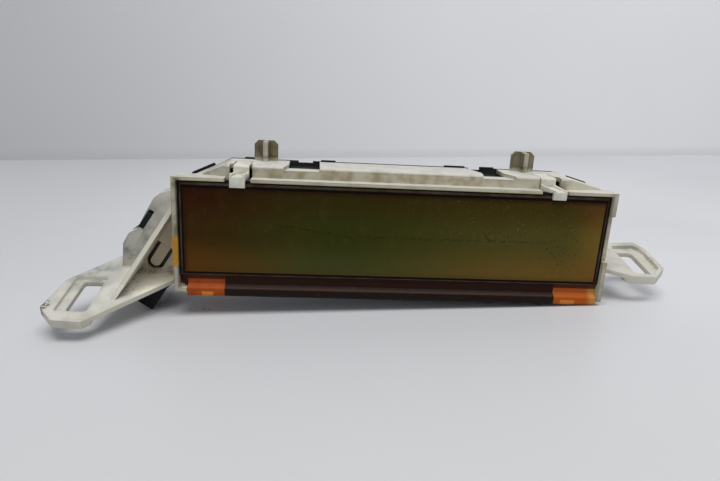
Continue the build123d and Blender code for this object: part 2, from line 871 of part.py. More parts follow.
# ---------------------------------------------------------------- board components
chip_layout = {
    # name: (centre x, centre z, width, height, body thickness, leads on each side)
    "microcontroller": (-20.0, -2.0, 14.0, 14.0, 1.6, 12),
    "display_driver": (18.0, 2.0, 12.0, 12.0, 1.6, 10),
    "memory_chip": (-44.0, 4.0, 5.0, 4.0, 1.5, 4),
}
lead_width = 0.35
lead_reach = 1.0
lead_thick = 0.25
chip_parts = {}
for name, (x, z, width, height, thick, leads) in chip_layout.items():
    with BuildPart() as chip:
        with BuildSketch(front_view(board_rear + 0.1)):
            with Locations((x, z)):
                Rectangle(width, height)
        extrude(amount=-thick)
        with BuildSketch(front_view(board_rear)):
            with Locations((x, z)):
                with GridLocations((width - 2.0) / (leads - 1), 0, leads, 1):
                    Rectangle(lead_width, height + 2 * lead_reach)
                if leads > 4:
                    with GridLocations(0, (height - 2.0) / (leads - 1), 1, leads):
                        Rectangle(width + 2 * lead_reach, lead_width)
        extrude(amount=-lead_thick)
    chip_parts[name] = chip.part

with BuildPart() as voltage_regulator:
    with BuildSketch(front_view(board_rear)):
        with Locations((46.0, -8.0)):
            Rectangle(6.6, 6.2)
    extrude(amount=-2.3)
    with BuildSketch(front_view(board_rear)):
        with Locations((46.0, -12.2)):
            with GridLocations(2.3, 0, 3, 1):
                Rectangle(0.8, 2.4)
        with Locations((46.0, -4.4)):
            Rectangle(5.4, 1.2)
    extrude(amount=-0.5)

with BuildPart() as crystal:
    with BuildSketch(front_view(board_rear)):
        with Locations((-4.0, -2.0)):
            SlotOverall(11.0, 4.6, rotation=90)
    extrude(amount=-3.6)
    fillet(crystal.faces().sort_by(Axis.Y)[-1].edges(), radius=0.4)

capacitor_places = [(34.0, -10.0), (58.0, -9.0), (58.0, 3.0)]
with BuildPart() as capacitors:
    with BuildSketch(front_view(board_rear)):
        with Locations(*capacitor_places):
            RectangleRounded(6.8, 6.8, 1.0)
    extrude(amount=-1.2)
    with BuildSketch(front_view(board_rear + 1.2)):
        with Locations(*capacitor_places):
            Circle(3.15)
    extrude(amount=-6.0)
    fillet(capacitors.faces().filter_by(Axis.Y).group_by(Axis.Y)[-1].edges(), radius=0.5)

with BuildPart() as power_inductor:
    with BuildSketch(front_view(board_rear)):
        with Locations((46.0, 5.0)):
            RectangleRounded(7.4, 7.4, 1.2)
    extrude(amount=-3.8)
    chamfer(power_inductor.faces().sort_by(Axis.Y)[-1].edges(), length=0.4)

head_radius = 2.5
head_height = 1.7
screw_end = 12.0
with BuildPart() as board_screws:
    with BuildSketch(front_view(screw_end)):
        with Locations(*screw_places):
            Circle(screw_radius)
    extrude(amount=-(board_rear - screw_end))
    with BuildSketch(front_view(board_rear)):
        with Locations(*screw_places):
            Circle(head_radius)
    extrude(amount=-head_height)
    fillet(board_screws.faces().group_by(Axis.Y)[-1].edges(), radius=0.6)
    with BuildSketch(front_view(board_rear + head_height)):
        with Locations(*screw_places):
            Rectangle(2.8, 0.6)
            Rectangle(0.6, 2.8)
    extrude(amount=0.9, mode=Mode.SUBTRACT)

# ---------------------------------------------------------------- rear cover
cover_wall = 1.6
cover_rim = 1.2  # the rim plate has the housing's whole outline; the box behind it is lower
shoulder_sunk = 0.4  # at its two lower corners the rim is hidden behind the shoulders
rim_notches = ((-37.0, -31.6), (28.4, 33.0))
rim_notch_bottom = deck_top - 0.6
shoulder_lugs = (
    # middle x, height of the middle over the shoulder, length, thickness
    (-72.5, 0.45, 9.5, 1.2),
    (72.0, -0.1, 8.6, 1.0),
)
cover_outline = [
    (deck_left, deck_top + cover_proud),
    (deck_right, deck_top + cover_proud),
    (half_width, right_shoulder_low - shoulder_sunk),
    (half_width, frame_bottom - 0.4),
    (-81.0, frame_bottom - 0.4),
    (-85.6, -27.6),
    (-90.8, -32.2),
    (-97.4, -27.4),
    (-103.0, -20.5),
    (-102.2, -10.0),
    (-100.0, -6.0),
    (-96.9, -4.3),
    (-92.4, 4.0),
    (-90.1, 8.0),
    (-87.4, 9.9),
    (-84.4, 11.0),
    (-half_width, 11.8),
    (-half_width, left_shoulder_low - shoulder_sunk),
]
cover_box_outline = [
    (-57.0, 17.6),
    (57.0, 17.6),
    (half_width, 9.4),
    (half_width, frame_bottom - 0.4),
    (-81.0, frame_bottom - 0.4),
    (-85.6, -27.6),
    (-90.8, -32.2),
    (-97.4, -27.4),
    (-103.0, -20.5),
    (-102.2, -10.0),
    (-100.0, -6.0),
    (-96.9, -4.3),
    (-92.4, 4.0),
    (-89.0, 7.0),
]
latch_root = rear_rim + cover_rim
latch_thick = 1.4
with BuildPart() as rear_cover:
    with BuildSketch(front_view(rear_rim)):
        with BuildLine():
            Polyline(*cover_outline, close=True)
        make_face()
    extrude(amount=-cover_rim)
    with BuildSketch(front_view(rear_rim)):
        with BuildLine():
            Polyline(*cover_box_outline, close=True)
        make_face()
    extrude(amount=-(cover_rear - rear_rim))
    back_edges = rear_cover.faces().sort_by(Axis.Y)[-1].edges()
    fillet(back_edges, radius=1.2)
    with BuildSketch(front_view(rear_rim)):
        with BuildLine():
            Polyline(*cover_box_outline, close=True)
        make_face()
        offset(amount=-cover_wall, mode=Mode.REPLACE)
    extrude(amount=-(cover_rear - rear_rim - cover_wall), mode=Mode.SUBTRACT)

    # ventilation slots in two banks
    with BuildSketch(front_view(cover_rear - 2 * cover_wall)):
        for bank_x in (-38.0, 38.0):
            with Locations((bank_x, 0)):
                with GridLocations(5.0, 0, 8, 1):
                    SlotOverall(18.0, 2.2, rotation=90)
    extrude(amount=-3 * cover_wall, mode=Mode.SUBTRACT)
    # a raised panel between them
    with BuildSketch(front_view(cover_rear - 0.4)):
        RectangleRounded(28.0, 24.0, 2.0)
    extrude(amount=-0.9)

    # lugs that stand along the deck's rear edge
    with BuildSketch(Plane.XY.offset(deck_top - wall)):
        for low, high in ((-57.0, -51.5), (-28.5, -23.0), (19.0, 27.0), (33.0, 38.5)):
            with Locations(((low + high) / 2, rear_rim + cover_rim / 2)):
                Rectangle(high - low, cover_rim)
    extrude(amount=wall + cover_proud + 0.5)
    # a rounded lug on each shoulder's rim
    with BuildSketch(front_view(rear_rim)):
        for x, proud, length, thick in shoulder_lugs:
            rise = shoulder_height(x + 1.0) - shoulder_height(x)
            with Locations((x, shoulder_height(x) + proud)):
                SlotOverall(length, thick, rotation=degrees(atan(rise)))
    extrude(amount=-cover_rim)

    # latches that reach forward in the deck's windows; the rim is notched above them
    latch_top = deck_top - wall - 0.3
    latch_front = 9.2
    latch_side_gap = 0.3
    for low, high in rim_notches:
        with BuildSketch(front_view(rear_rim - overlap)):
            with Locations(((low + high) / 2, rim_notch_bottom + wall)):
                Rectangle(high - low, 2 * wall)
        extrude(amount=-(cover_rim + 2 * overlap), mode=Mode.SUBTRACT)
    for low, high in deck_windows:
        with BuildSketch(Plane.XY.offset(latch_top - latch_thick)):
            with Locations(((low + high) / 2, (latch_front + latch_root) / 2)):
                Rectangle(high - low - 2 * latch_side_gap, latch_root - latch_front)
        extrude(amount=latch_thick)
    # a tab in the wing's notch
    with BuildSketch(front_view(wing_front + 0.1)):
        with BuildLine():
            Polyline(*wing_tab, close=True)
        make_face()
    extrude(amount=-(rear_rim + 1.0 - wing_front))

# ---------------------------------------------------------------- write every piece
save(front_housing.part, "front_housing")
save(latch_tongue.part, "latch_tongue")
save(clips["left"], "glass_clip_left")
save(clips["right"], "glass_clip_right")
save(film_parts["front_polariser"], "front_polariser")
save(glass_parts["front_glass"], "front_glass")
save(glass_parts["rear_glass"], "rear_glass")
save(film_parts["rear_polariser"], "rear_polariser")
save(glass_seal.part, "glass_seal")
save(flex_circuit.part, "flex_circuit")
save(insulating_tape.part, "insulating_tape")
for name, sheet_part in sheet_parts.items():
    save(sheet_part, name)
save(light_box.part, "light_box")
save(light_board.part, "light_board")
save(light_board_leds.part, "light_board_leds")
save(light_board_pins.part, "light_board_pins")
save(main_board.part, "main_board")
for name, chip_part in chip_parts.items():
    save(chip_part, name)
save(voltage_regulator.part, "voltage_regulator")
save(crystal.part, "crystal")
save(capacitors.part, "capacitors")
save(power_inductor.part, "power_inductor")
save(board_screws.part, "board_screws")
save(connector_housing.part, "connector_housing")
save(connector_pins.part, "connector_pins")
save(rear_cover.part, "rear_cover")
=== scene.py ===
"""The looks of the dashboard display module, in metres in the row frame.

+X is to the viewer's right, +Y goes away from the viewer, +Z is up, and the origin is the
centre of the display's front face. The materials place their patterns in millimetres.
"""

import json
from math import radians

import bmesh
import bpy
from mathutils import Matrix, Vector


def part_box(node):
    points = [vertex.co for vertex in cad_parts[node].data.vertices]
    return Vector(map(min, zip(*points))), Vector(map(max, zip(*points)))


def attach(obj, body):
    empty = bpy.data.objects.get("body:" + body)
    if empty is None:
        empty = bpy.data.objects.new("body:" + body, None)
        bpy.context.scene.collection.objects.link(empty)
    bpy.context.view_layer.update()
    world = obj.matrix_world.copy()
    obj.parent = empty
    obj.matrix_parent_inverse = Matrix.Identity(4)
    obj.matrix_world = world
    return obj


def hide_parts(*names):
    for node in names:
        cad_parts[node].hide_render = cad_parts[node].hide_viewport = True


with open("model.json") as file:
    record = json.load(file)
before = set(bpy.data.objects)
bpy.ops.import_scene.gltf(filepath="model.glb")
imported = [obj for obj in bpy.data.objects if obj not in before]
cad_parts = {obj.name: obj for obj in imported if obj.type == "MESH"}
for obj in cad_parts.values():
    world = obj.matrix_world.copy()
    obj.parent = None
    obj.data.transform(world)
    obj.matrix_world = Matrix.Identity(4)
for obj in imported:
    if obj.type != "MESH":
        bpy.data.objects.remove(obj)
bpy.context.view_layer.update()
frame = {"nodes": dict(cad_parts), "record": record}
MM = 0.001


# ---------------------------------------------------------------- places, in millimetres
def box_mm(node):
    """The lowest and highest corners of a CAD node at rest."""
    low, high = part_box(node)
    return low / MM, high / MM


film_low, film_high = box_mm("front_polariser")
glass_low, glass_high = box_mm("front_glass")
flex_low, flex_high = box_mm("flex_circuit")

HALF_WIDTH = box_mm("rear_cover")[1].x  # from the middle to the frame's outer sides
DECK_TOP = box_mm("glass_clip_left")[1].z
FRAME_TOP = DECK_TOP - 4.1
DECK_END = 62.0  # beyond this, on either side, a shoulder slopes down from the deck
POST_X = 49.0  # from the middle to each locating post
WING_FRONT = box_mm("latch_tongue")[0].y
ARM_TOP = -19.0  # the left arm's top face, where it meets the wing
WEB_SLOPE = 1.63  # the web leans along the line z = WEB_SLOPE * x + WEB_HEIGHT
WEB_HEIGHT = 138.7


# ---------------------------------------------------------------- node graphs
class Graph:
    """One material's nodes. Every pattern is placed by the row frame, in millimetres."""

    def __init__(self, name):
        self.material = bpy.data.materials.new(name)
        self.material.use_nodes = True
        self.tree = self.material.node_tree
        self.shader = self.tree.nodes["Principled BSDF"]
        place = self.node("ShaderNodeTexCoord").outputs["Object"]
        self.place = self.vector("SCALE", place, scale=1 / MM)
        axes = self.node("ShaderNodeSeparateXYZ", Vector=self.place).outputs
        self.x, self.y, self.z = axes["X"], axes["Y"], axes["Z"]

    def node(self, kind, settings=None, **inputs):
        """A new node with these settings and inputs; a space in an input's name is written _."""
        made = self.tree.nodes.new(kind)
        for name, value in (settings or {}).items():
            setattr(made, name, value)
        for name, value in inputs.items():
            self.put(made.inputs[name.replace("_", " ")], value)
        return made

    def put(self, socket, value):
        """Links a socket to another socket, or sets it to a number or a colour."""
        if isinstance(value, bpy.types.NodeSocket):
            self.tree.links.new(value, socket)
        elif socket.type == "RGBA" and len(value) == 3:
            socket.default_value = (*value, 1)
        else:
            socket.default_value = value

    def vector(self, operation, first, second=None, scale=None):
        """The result of a vector operation on one vector or two."""
        made = self.node("ShaderNodeVectorMath", {"operation": operation})
        self.put(made.inputs[0], first)
        if second is not None:
            self.put(made.inputs[1], second)
        if scale is not None:
            self.put(made.inputs["Scale"], scale)
        return made.outputs["Value" if operation == "LENGTH" else "Vector"]

    def math(self, operation, *values):
        """The result of an operation on one number or two."""
        made = self.node("ShaderNodeMath", {"operation": operation})
        for socket, value in zip(made.inputs, values):
            self.put(socket, value)
        return made.outputs["Value"]

    def unsigned(self, value):
        """A value without its sign."""
        return self.math("ABSOLUTE", value)

    def product(self, first, *others):
        """Several values multiplied together: for masks, where all of them are 1."""
        for other in others:
            first = self.math("MULTIPLY", first, other)
        return first

    def larger(self, first, second):
        """The larger of two values: for masks, where either of them is 1."""
        return self.math("MAXIMUM", first, second)

    def noise(self, size, detail=3.0, rough=0.55, place=None):
        """Cloudy noise from 0 to 1, its features about size millimetres across."""
        return self.node(
            "ShaderNodeTexNoise",
            Vector=place or self.place,
            Scale=1 / size,
            Detail=detail,
            Roughness=rough,
        ).outputs["Fac"]

    def swing(self, reach, size, detail, rough=0.55):
        """Noise that swings by half of reach to either side of 0."""
        return self.product(self.math("SUBTRACT", self.noise(size, detail, rough), 0.5), reach)

    def uneven(self, base, spread, size, detail=3.0):
        """A roughness of base plus up to spread, in patches about size millimetres across."""
        return self.math("ADD", base, self.product(self.noise(size, detail), spread))

    def step(self, value, low, high):
        """0 at low and 1 at high, eased between them; low may be above high."""
        made = self.node("ShaderNodeMapRange", {"interpolation_type": "SMOOTHSTEP"})
        self.put(made.inputs["Value"], value)
        made.inputs["From Min"].default_value = min(low, high)
        made.inputs["From Max"].default_value = max(low, high)
        made.inputs["To Min"].default_value = 0 if low < high else 1
        made.inputs["To Max"].default_value = 1 if low < high else 0
        return made.outputs["Result"]

    def patches(self, size, low, high, detail=3.0, rough=0.55, place=None):
        """1 in the patches where noise is above high, 0 where it is below low."""
        return self.step(self.noise(size, detail, rough, place), low, high)

    def band(self, value, low, high, soft):
        """1 between low and high, with soft edges."""
        return self.product(
            self.step(value, low - soft, low + soft), self.step(value, high + soft, high - soft)
        )

    def mix(self, factor, first, second):
        """The first colour where factor is 0, and the second where it is 1."""
        made = self.node("ShaderNodeMix", {"data_type": "RGBA", "blend_type": "MIX"})
        self.put(made.inputs["Factor"], factor)
        colour_inputs = [s for s in made.inputs if s.type == "RGBA"]
        self.put(colour_inputs[0], first)
        self.put(colour_inputs[1], second)
        return [s for s in made.outputs if s.type == "RGBA"][0]

    def cloudy(self, pair, size, detail=3.0, low=0.35, high=0.7):
        """A colour that wanders between a pair, in patches about size millimetres across."""
        return self.mix(self.patches(size, low, high, detail), *pair)

    def lay(self, colour, tint, mask, strength=1.0):
        """A colour with a tint laid over it where the mask is 1."""
        return self.mix(mask if strength == 1.0 else self.product(mask, strength), colour, tint)

    def blob(self, centre, size, soft=1.0):
        """1 round a centre and 0 outside an ellipsoid, whose half widths are its size.

        A smaller soft fills more of it, up to a sharper edge.
        """
        away = self.vector("SUBTRACT", self.place, centre)
        away = self.vector("MULTIPLY", away, tuple(1 / s for s in size))
        near = self.step(self.vector("LENGTH", away), 1, 0)
        return near if soft == 1.0 else self.step(near, 0, soft)

    def specks(self, cell, radius, share, flat=False):
        """Small dots, one in some of the cells of a grid; share is how many cells have one."""
        place = self.vector("MULTIPLY", self.place, (1, 0, 1)) if flat else self.place
        found = self.node(
            "ShaderNodeTexVoronoi", {"feature": "F1"}, Vector=place, Scale=1 / cell
        )
        dot = self.step(found.outputs["Distance"], radius / cell, 0.3 * radius / cell)
        pick = self.node("ShaderNodeSeparateColor", Color=found.outputs["Color"])
        return self.product(dot, self.math("LESS_THAN", pick.outputs["Red"], share))

    def crease(self, reach):
        """1 deep in a crease or corner, 0 in the open."""
        open_share = self.node(
            "ShaderNodeAmbientOcclusion", {"samples": 8}, Distance=reach * MM
        ).outputs["AO"]
        return self.step(self.math("SUBTRACT", 1, open_share), 0.4, 0.9)

    def edge(self, reach):
        """1 along an outer edge, 0 on a flat."""
        found = self.node(
            "ShaderNodeAmbientOcclusion", {"samples": 8, "inside": True}, Distance=reach * MM
        ).outputs["AO"]
        return self.step(found, 0.55, 0.95)

    def upward(self):
        """1 on faces that look up, 0 on upright ones."""
        normal = self.node("ShaderNodeNewGeometry").outputs["Normal"]
        return self.step(self.node("ShaderNodeSeparateXYZ", Vector=normal).outputs["Z"], 0.15, 0.8)

    def bump(self, height, depth, strength=0.6):
        """Sets the shader's normal from a height from 0 to 1 that stands for depth millimetres."""
        made = self.node(
            "ShaderNodeBump", Height=height, Strength=strength, Distance=depth * MM
        )
        self.put(self.shader.inputs["Normal"], made.outputs["Normal"])

    def finish(self, colour, rough, **fixed):
        """Gives the shader its colour, its roughness and its fixed values."""
        self.put(self.shader.inputs["Base Color"], colour)
        self.put(self.shader.inputs["Roughness"], rough)
        for name, value in fixed.items():
            self.shader.inputs[name.replace("_", " ")].default_value = value
        return self.material


# ---------------------------------------------------------------- the housing's plastic
# Colours are linear red, green and blue. A pair is the two ends that a surface wanders between.
PALE_TOP = (0.455, 0.455, 0.435), (0.41, 0.40, 0.365)
SHADED_TAN_FRONT = (0.29, 0.25, 0.148), (0.265, 0.227, 0.131)
TOP_RAIL = (0.345, 0.315, 0.205)
LEFT_EAR_FRONT = (0.50, 0.485, 0.42)
ARM_FRONT = (0.68, 0.65, 0.55)
ARM_CLOUD = (0.36, 0.33, 0.24)
WING_PAINTED_SHADE = (0.42, 0.415, 0.38), (0.20, 0.20, 0.185)
POCKET_PAINTED_LIGHT = (0.82, 0.69, 0.50)
WEB_CREAM = (0.60, 0.575, 0.475)
INNER_LIP = (0.12, 0.11, 0.062), (0.27, 0.25, 0.175)
SPECKLE = (0.33, 0.29, 0.21)
POST_STAIN_AND_SHADE = (0.120, 0.093, 0.037), (0.063, 0.044, 0.016)
POST_RIB = (0.33, 0.31, 0.245)
POST_FOOT = (0.045, 0.03, 0.018)
ARM_TOP_PAINTED_SHADE = (0.215, 0.224, 0.219)
RIGHT_SHOULDER_PAINTED_LIGHT = (0.56, 0.54, 0.44)
LEFT_SHOULDER_PAINTED_SHADE = (0.22, 0.212, 0.175)
GRIME = (0.30, 0.26, 0.18)
ARM_FLOOR_PAINTED_LIGHT = (0.94, 0.89, 0.75)
CORNER_DIRT = (0.27, 0.19, 0.09)
RUST = (0.22, 0.13, 0.035)
YELLOW_SPECK = (0.32, 0.19, 0.035)
FAR_RIM = (0.35, 0.34, 0.28)
AMBER_STAIN = (0.17, 0.07, 0.018)
PALE_EDGE_WEAR_AND_HIGHLIGHT = (0.62, 0.60, 0.52)
BROKEN_CORNER = (0.10, 0.085, 0.065)


def housing_upright(g):
    """The colour of the housing's upright faces, darker than the tops as painted shade."""
    cloud = g.patches(14, 0.35, 0.7, 4)
    tan = g.mix(cloud, *SHADED_TAN_FRONT)
    # the mounting arms have yellowed less than the body
    arms = g.product(
        g.step(g.unsigned(g.x), HALF_WIDTH + 0.6, HALF_WIDTH + 3), g.step(g.z, 0, -8)
    )
    arm_tint = g.mix(g.step(g.x, -112, -100), LEFT_EAR_FRONT, ARM_FRONT)
    tan = g.mix(arms, tan, g.lay(arm_tint, ARM_CLOUD, cloud, 0.25))
    # the wing is painted dark grey left of the leaning web, as the shade the web casts, and bright tan in the
    # pocket right of it, as painted light; the web's front is cream
    above_web = g.math("ADD", g.z, g.product(g.x, -WEB_SLOPE))
    wing_light_and_shade = g.mix(g.step(g.x, -86, -95), *WING_PAINTED_SHADE)
    left_of_web = g.step(above_web, WEB_HEIGHT + 0.8, WEB_HEIGHT + 2.8)
    wing_light_and_shade = g.mix(left_of_web, POCKET_PAINTED_LIGHT, wing_light_and_shade)
    wing_light_and_shade = g.mix(g.step(g.y, WING_FRONT - 0.4, WING_FRONT - 0.1), WEB_CREAM, wing_light_and_shade)
    wing = g.product(
        g.step(g.x, -HALF_WIDTH - 0.2, -HALF_WIDTH - 0.8),
        g.step(g.z, ARM_TOP - 0.4, ARM_TOP + 0.4),
    )
    tan = g.mix(wing, tan, wing_light_and_shade)
    # the frame's top rail has yellowed less than its sides
    rail = g.product(g.step(g.z, glass_high.z, glass_high.z + 0.2), g.step(g.y, 1.0, 0.6))
    return g.mix(rail, tan, TOP_RAIL)


def housing_frame_and_posts(g, colour, grain, post):
    """Lays the frame's darker inner lip, the moulded speckle and the posts' brown stain and painted shade
    over a colour.
    """
    lip = g.product(
        g.band(g.unsigned(g.x), glass_high.x - 0.5, HALF_WIDTH - 0.65, 0.15),
        g.step(g.y, 1.5, 0.5),
        g.step(g.z, FRAME_TOP - 0.2, FRAME_TOP - 0.6),
    )
    colour = g.lay(colour, g.mix(g.step(g.x, -10, 10), *INNER_LIP), lip, 0.85)
    colour = g.lay(colour, SPECKLE, g.step(grain, 0.45, 0.7), 0.2)
    # the posts are painted dark brown, partly stain and partly painted shade on their upright faces; the
    # middle rib stays paler and the foot darker
    upright_streaks = g.vector("MULTIPLY", g.place, (1, 1, 0.35))
    post_stain_and_shade = g.mix(g.patches(2.6, 0.32, 0.66, 4, place=upright_streaks), *POST_STAIN_AND_SHADE)
    from_rib = g.unsigned(g.math("SUBTRACT", g.unsigned(g.x), POST_X))
    post_stain_and_shade = g.mix(g.step(from_rib, 1.0, 0.7), post_stain_and_shade, POST_RIB)
    colour = g.lay(colour, post_stain_and_shade, post, 0.9)
    foot = g.product(g.band(g.z, DECK_TOP + 1.0, DECK_TOP + 2.3, 0.9), g.patches(3, 0.3, 0.6))
    return g.lay(colour, POST_FOOT, foot, 0.7)


def housing_stains(g, colour, upward):
    """Lays the housing's painted light and shade, and its grime and rust, over a colour."""
    # painted shade: the left arm's top beside the web is painted grey, as the web's shadow
    shaded_arm_top = g.step(g.product(g.blob((-111, 9, -20.5), (15, 15, 8)), upward), 0, 0.4)
    colour = g.lay(colour, ARM_TOP_PAINTED_SHADE, shaded_arm_top, 0.9)
    # the sloping shoulders are painted as the light falls on them: pale on the right one, which faces the
    # light, dark on the left one, which faces away
    shoulders = g.step(g.z, FRAME_TOP - 0.2, FRAME_TOP + 0.4)
    right_shoulder = g.product(g.step(g.x, DECK_END - 2, DECK_END + 2), shoulders)
    colour = g.lay(colour, RIGHT_SHOULDER_PAINTED_LIGHT, right_shoulder, 0.8)
    left_shoulder = g.product(g.step(g.x, 1.6 - DECK_END, -0.4 - DECK_END), shoulders)
    colour = g.lay(colour, LEFT_SHOULDER_PAINTED_SHADE, left_shoulder, 0.8)
    # grime in the pocket round the latch tongue, and painted light on the left arm's floor below it, which
    # the leaning web overhangs
    broken = g.patches(2.2, 0.36, 0.66, 5, 0.7)
    pocket = g.blob((-84, 12, -6), (9, 6, 18))
    colour = g.lay(colour, GRIME, g.product(pocket, g.math("ADD", 0.3, broken)), 0.4)
    floor = g.product(g.blob((-88.5, 6, -21), (13, 19, 8), 0.3), upward, g.step(g.y, -12, 2))
    colour = g.lay(colour, ARM_FLOOR_PAINTED_LIGHT, floor)
    colour = g.lay(colour, CORNER_DIRT, g.product(g.crease(2.6), broken), 0.7)
    # rust behind the web's foot and below the tongue, and yellow specks along the foot
    rusty = g.larger(g.blob((-93, 13, -20), (6, 4, 4)), g.blob((-82, 13, -20), (6, 5, 4)))
    rust = g.product(g.step(rusty, 0, 0.5), g.patches(1.6, 0.42, 0.58, 5, 0.75))
    colour = g.lay(colour, RUST, rust, 0.9)
    foot_specks = g.product(g.specks(1.7, 0.75, 0.6), g.blob((-96.5, 3, -21.5), (3.5, 14, 5), 0.4))
    colour = g.lay(colour, YELLOW_SPECK, foot_specks, 0.85)
    # brown stains and a darker far rim on the right ear
    ear_stain = g.product(g.blob((104, 15, -9), (14, 7, 5), 0.5), broken)
    colour = g.lay(colour, GRIME, ear_stain, 0.75)
    colour = g.lay(colour, FAR_RIM, g.blob((103.5, 26.5, -7.5), (11, 5, 4), 0.4), 0.9)
    # amber beside the flex circuit's left end
    amber = g.product(
        g.band(g.x, flex_low.x - 3.2, flex_low.x + 0.6, 0.2),
        g.band(g.z, flex_low.z + 2.5, glass_low.z - 0.3, 0.3),
        g.step(g.y, -0.4, 0.3),
    )
    return g.lay(colour, AMBER_STAIN, amber, 0.9)


def housing_plastic():
    """Aged cream moulding: pale on top, darker tan on upright faces as yellowing and painted shade, with
    brown grime in its creases and more painted light and shade laid on.
    """
    g = Graph("housing_plastic")
    upward = g.upward()
    grain = g.noise(0.35, 2, 0.6)
    post = g.step(g.z, DECK_TOP + 0.4, DECK_TOP + 1.7)
    # upright faces take the darker tan: the plastic's yellowing, with painted shade
    colour = g.mix(upward, housing_upright(g), g.cloudy(PALE_TOP, 14, 4))
    colour = housing_frame_and_posts(g, colour, grain, post)
    colour = housing_stains(g, colour, upward)
    # edges are painted pale, as rubbing wear and painted highlight, less so on the posts
    clean = g.math("SUBTRACT", 1, g.product(post, 0.7))
    colour = g.lay(colour, PALE_EDGE_WEAR_AND_HIGHLIGHT, g.product(g.edge(0.6), g.patches(5, 0.3, 0.6), clean), 0.45)
    # the left ear's front corner is broken
    ear_corner = g.step(g.blob((-121.8, -10.5, -27), (5, 6, 4.5)), 0.1, 0.4)
    colour = g.lay(colour, BROKEN_CORNER, g.product(ear_corner, g.patches(0.9, 0.42, 0.52)))
    g.bump(g.math("ADD", g.product(grain, 0.7), g.product(g.noise(3.5), 0.6)), 0.05)
    return g.finish(colour, g.uneven(0.45, 0.25, 4, 4), IOR=1.46, Specular_IOR_Level=0.35)


# ---------------------------------------------------------------- the display's materials
FILM_DARK = (0.022, 0.006, 0.002)
FILM_LOW_RIM = (0.075, 0.034, 0.010)
FILM_BLOTCH = (0.085, 0.068, 0.018)
FILM_MOTTLE = (0.012, 0.011, 0.004)
FILM_MARK = (0.008, 0.008, 0.003)
FILM_DUST = (0.27, 0.25, 0.14)
# across the film: left, centre, right and right end, at its top, middle and foot
FILM_TOP = (0.030, 0.007, 0.001), (0.030, 0.022, 0.002), (0.048, 0.033, 0.004), (0.100, 0.045, 0.009)
FILM_MIDDLE = (0.038, 0.018, 0.002), (0.031, 0.034, 0.004), (0.072, 0.062, 0.012), (0.145, 0.092, 0.017)
FILM_FOOT = (0.085, 0.036, 0.004), (0.046, 0.051, 0.012), (0.125, 0.076, 0.015), (0.155, 0.078, 0.015)


def film_fade(g):
    """The film's slow change of colour from place to place."""
    drift = g.swing(22, 22, 4)
    across = g.math("ADD", g.x, drift)
    height = g.math("ADD", g.z, g.product(drift, 0.35))

    def row(left, centre, right, end):
        colour = g.mix(g.step(across, -74, -26), left, centre)
        colour = g.mix(g.step(across, -22, 58), colour, right)
        return g.mix(g.step(g.x, 62, 77), colour, end)

    top, middle, foot = row(*FILM_TOP), row(*FILM_MIDDLE), row(*FILM_FOOT)
    colour = g.mix(g.step(height, 0, 13.5), middle, top)
    return g.mix(g.step(height, -1, -12.5), colour, foot)


def polariser_film():
    """The dark film on the display: olive, brown towards its edges, with dust and marks."""
    g = Graph("polariser_film")
    colour = film_fade(g)
    # redder and darker just inside the film's rim
    rim = g.larger(
        g.step(g.z, film_high.z - 2.0, film_high.z - 0.1),
        g.step(g.x, film_low.x + 1.7, film_low.x + 0.1),
    )
    colour = g.lay(colour, FILM_DARK, rim, 0.7)
    low_rim = g.step(g.z, film_low.z + 1.8, film_low.z + 0.2)
    colour = g.lay(colour, FILM_LOW_RIM, low_rim, 0.5)
    # blotches of different ages
    colour = g.lay(colour, FILM_BLOTCH, g.patches(5, 0.5, 0.78, 5, 0.65), 0.22)
    colour = g.lay(colour, FILM_MOTTLE, g.patches(1.6, 0.45, 0.75, 4, 0.7), 0.14)
    # one thin dark wavy line across the middle, which drops a little at first and then runs level
    fall = g.math("MAXIMUM", g.product(g.math("ADD", g.x, 22), -0.13), -0.6)
    from_line = g.math("SUBTRACT", g.z, g.math("ADD", g.swing(3.4, 5, 4, 0.65), fall))
    line = g.product(
        g.band(from_line, -0.2, 0.2, 0.35),
        g.patches(1.1, 0.44, 0.56, 4, 0.7),
        g.band(g.x, -47, 56, 3),
    )
    mark_area = g.larger(g.blob((62, 0, -4), (15, 40, 13)), g.blob((36, 0, 1), (22, 40, 4)))
    marks = g.product(
        g.specks(1.2, 0.55, 0.5, flat=True), g.step(mark_area, 0.1, 0.7), g.patches(2.5, 0.35, 0.6)
    )
    colour = g.lay(colour, FILM_MARK, g.larger(line, marks), 0.75)
    # pale dust, mostly at the upper right
    dust_area = g.larger(g.blob((40, 0, 8), (52, 60, 16), 0.6), 0.12)
    fine_dust = g.product(g.specks(1.0, 0.26, 0.5, flat=True), 0.6)
    dust = g.product(g.larger(g.specks(2.3, 0.3, 0.4, flat=True), fine_dust), dust_area)
    colour = g.lay(colour, FILM_DUST, dust, 0.5)
    g.bump(g.noise(16, 2), 0.2, 0.2)
    return g.finish(colour, g.uneven(0.3, 0.18, 9, 5), IOR=1.45, Specular_IOR_Level=0.06)


GLASS_EDGE = (0.095, 0.070, 0.045), (0.050, 0.030, 0.018)
PRINTED_BORDER = (0.006, 0.004, 0.003)
GLASS_LEDGE = (0.052, 0.014, 0.007), (0.030, 0.009, 0.005)
BORDER_REACH = 16.15  # the printed border ends this far above and below the middle
BORDER_CORNER = 60.8  # how much further it reaches to the sides


